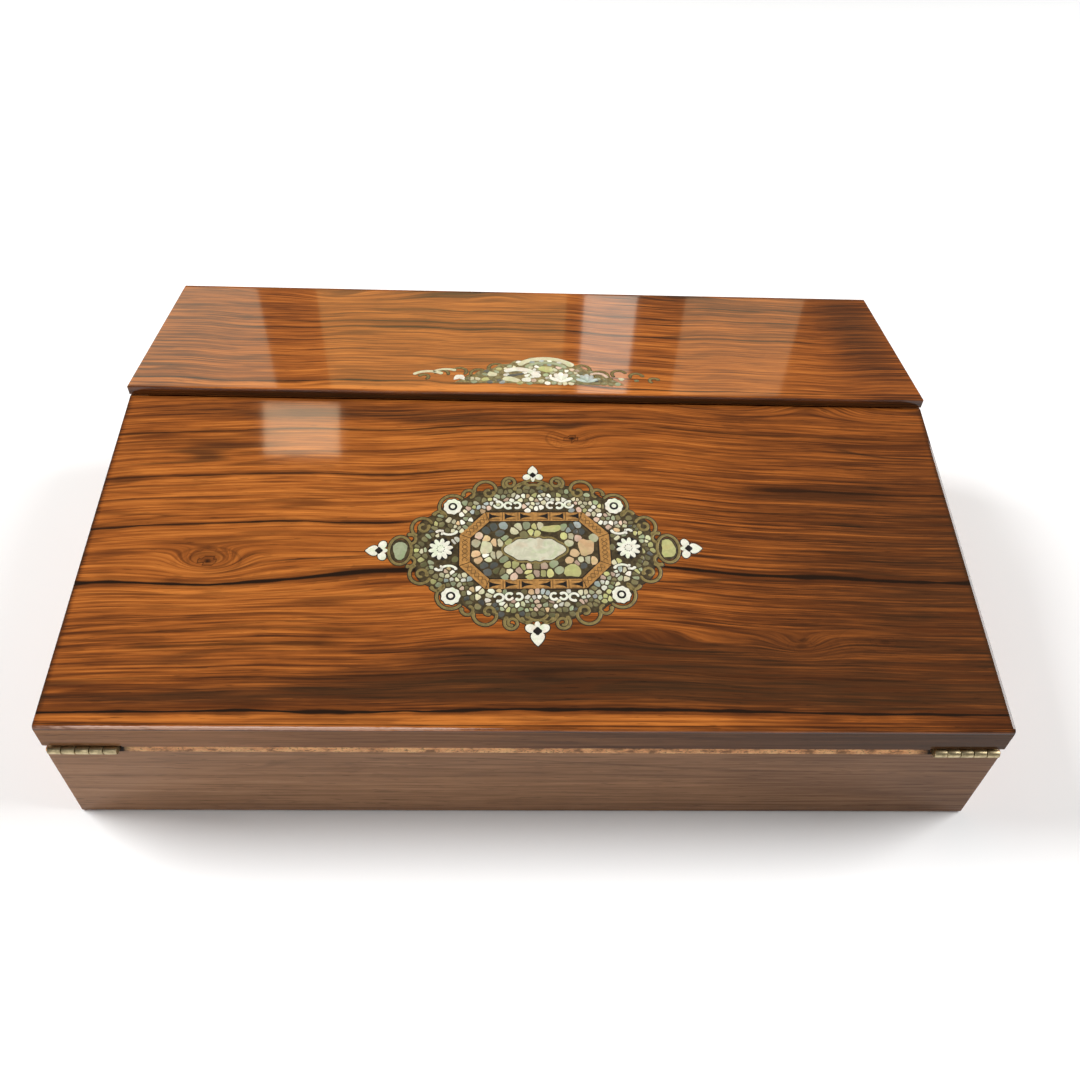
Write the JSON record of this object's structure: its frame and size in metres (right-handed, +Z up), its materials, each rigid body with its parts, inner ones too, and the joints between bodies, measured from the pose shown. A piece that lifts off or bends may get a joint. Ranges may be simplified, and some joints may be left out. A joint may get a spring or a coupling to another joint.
{
  "type": "writing slope",
  "caption": "Rosewood-veneered writing slope with a front-hinged sloping lid, a lift-off rear flap, and a brass and shell inlaid medallion on each.",
  "frame": {"origin": "centre of the underside, where the box stands on the table", "axes": "+X along the width to the right as seen from the hinged front, +Y towards the flap at the back, +Z up from the table"},
  "size_m": [0.3608, 0.2452, 0.104],
  "materials": {
    "rosewood_veneer": "polished",
    "inner_wood": "satin",
    "hinge_brass": "worn",
    "inlay_brass": "worn",
    "coppery_banding": "polished",
    "abalone_shell": "polished",
    "pearl_shell": "polished"
  },
  "bodies": {
    "case": {"case_front": "rosewood_veneer", "case_back": "rosewood_veneer", "case_left_side": "rosewood_veneer", "case_right_side": "rosewood_veneer", "case_bottom": "inner_wood", "top_flap": "rosewood_veneer", "left_hinge_case_leaf": "hinge_brass", "left_hinge_pin": "hinge_brass", "right_hinge_case_leaf": "hinge_brass", "right_hinge_pin": "hinge_brass", "flap_inlay_border": "inlay_brass", "flap_inlay_shell": "pearl_shell"},
    "lid": {"slope_lid": "rosewood_veneer", "left_hinge_lid_leaf": "hinge_brass", "right_hinge_lid_leaf": "hinge_brass", "lid_inlay_border": "inlay_brass", "lid_inlay_frame": "coppery_banding", "lid_inlay_field": "abalone_shell", "lid_inlay_plaque": "pearl_shell", "lid_inlay_trefoil_left": "pearl_shell", "lid_inlay_trefoil_right": "pearl_shell", "lid_inlay_trefoil_top": "pearl_shell", "lid_inlay_trefoil_bottom": "pearl_shell"}
  },
  "joints": [
    {"name": "lid_hinge", "type": "hinge", "parent": "case", "child": "lid", "pos_m": [0, -0.1221, 0.044], "axis": [1, 0, 0], "range_deg": [0, 175]}
  ]
}
